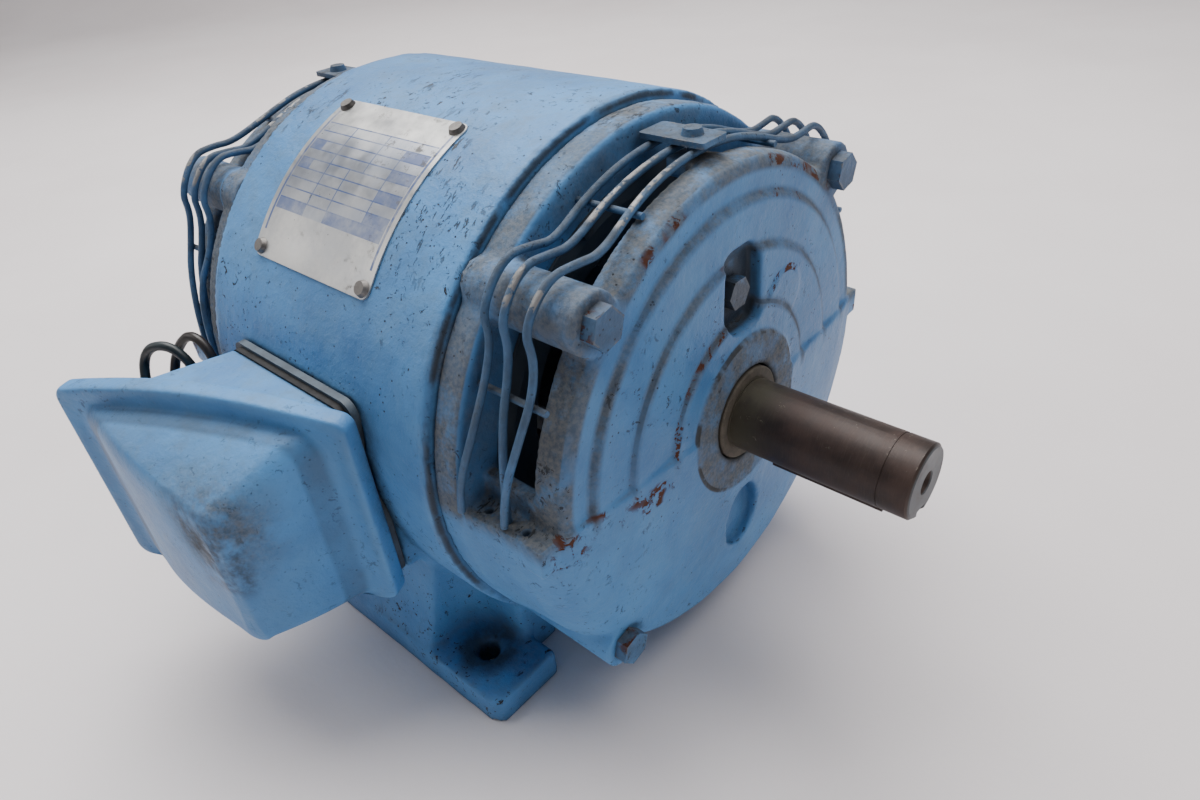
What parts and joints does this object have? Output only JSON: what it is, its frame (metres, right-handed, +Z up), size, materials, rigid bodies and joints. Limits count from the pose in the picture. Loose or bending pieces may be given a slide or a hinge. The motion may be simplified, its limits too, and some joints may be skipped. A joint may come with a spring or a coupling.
{
  "type": "electric motor",
  "caption": "Foot-mounted open drip-proof induction motor with vented end bells, wire guards, keyed shaft and side conduit box.",
  "frame": {"origin": "centre of the foot bolt pattern on the floor plane", "axes": "+X along the shaft out of the drive end, +Z up, conduit box on the -Y side"},
  "size_m": [0.326, 0.2887, 0.2266],
  "materials": {
    "blue_paint": "gloss enamel over cast iron, chipped and dusty",
    "guard_wire": "painted steel wire, scraped bare in places",
    "bolt_paint": "painted over, worn on the corners",
    "lamination": "stacked electrical steel",
    "winding": "varnished copper",
    "wedge": "fibre",
    "cast_aluminium": "die cast",
    "shaft_steel": "oxidised, turned",
    "key_steel": "oxidised",
    "seal_rubber": "matte",
    "bearing_steel": "ground",
    "pressed_steel": "pressed",
    "dark_sheet": "dark enamel",
    "screw_steel": "zinc plated",
    "nameplate": "etched, satin",
    "gasket": "matte",
    "spacer": "light enamel",
    "lead_brown": "varnished sleeve",
    "lead_blue": "varnished sleeve, oversprayed"
  },
  "bodies": {
    "frame": {"stator_frame": "blue_paint", "drive_end_bell": "blue_paint", "rear_end_bell": "blue_paint", "drive_bell_bolts": "bolt_paint", "rear_bell_bolts": "bolt_paint", "drive_wire_guard": "guard_wire", "rear_wire_guard": "guard_wire", "guard_clips": "guard_wire", "guard_clip_screws": "bolt_paint", "stator_core": "lamination", "stator_winding": "winding", "slot_wedges": "wedge", "drive_bearing_outer": "bearing_steel", "rear_bearing_outer": "bearing_steel", "bearing_preload_washer": "pressed_steel", "grease_plugs": "bolt_paint", "drive_air_baffle": "dark_sheet", "rear_air_baffle": "dark_sheet", "baffle_screws": "screw_steel", "nameplate": "nameplate", "nameplate_screws": "screw_steel", "box_frame_gasket": "gasket", "box_spacer_plate": "spacer", "box_base_gasket": "gasket", "conduit_box_base": "blue_paint", "conduit_box_cover": "blue_paint", "box_mounting_screws": "screw_steel", "cover_screws": "bolt_paint", "ground_screw": "screw_steel", "lead_bushing": "gasket", "motor_lead_brown": "lead_brown", "motor_lead_blue": "lead_blue"},
    "rotor": {"shaft": "shaft_steel", "shaft_key": "key_steel", "shaft_slinger": "seal_rubber", "rotor_core": "lamination", "rotor_cage": "cast_aluminium", "drive_bearing_inner": "bearing_steel", "rear_bearing_inner": "bearing_steel", "bearing_snap_ring": "pressed_steel"},
    "drive_ball_set": {"drive_bearing_balls": "bearing_steel", "drive_bearing_cage": "pressed_steel"},
    "rear_ball_set": {"rear_bearing_balls": "bearing_steel", "rear_bearing_cage": "pressed_steel"}
  },
  "joints": [
    {"name": "rotor_spin", "type": "hinge", "parent": "frame", "child": "rotor", "pos_m": [0, 0, 0.1143], "axis": [1, 0, 0], "continuous": true},
    {"name": "drive_balls_spin", "type": "hinge", "parent": "frame", "child": "drive_ball_set", "pos_m": [0.1089, 0, 0.1143], "axis": [1, 0, 0], "continuous": true},
    {"name": "rear_balls_spin", "type": "hinge", "parent": "frame", "child": "rear_ball_set", "pos_m": [-0.1129, 0, 0.1143], "axis": [1, 0, 0], "continuous": true}
  ],
  "couplings": [
    {"joint": "drive_balls_spin", "follows": "rotor_spin", "ratio": 0.3965},
    {"joint": "rear_balls_spin", "follows": "rotor_spin", "ratio": 0.3969}
  ]
}
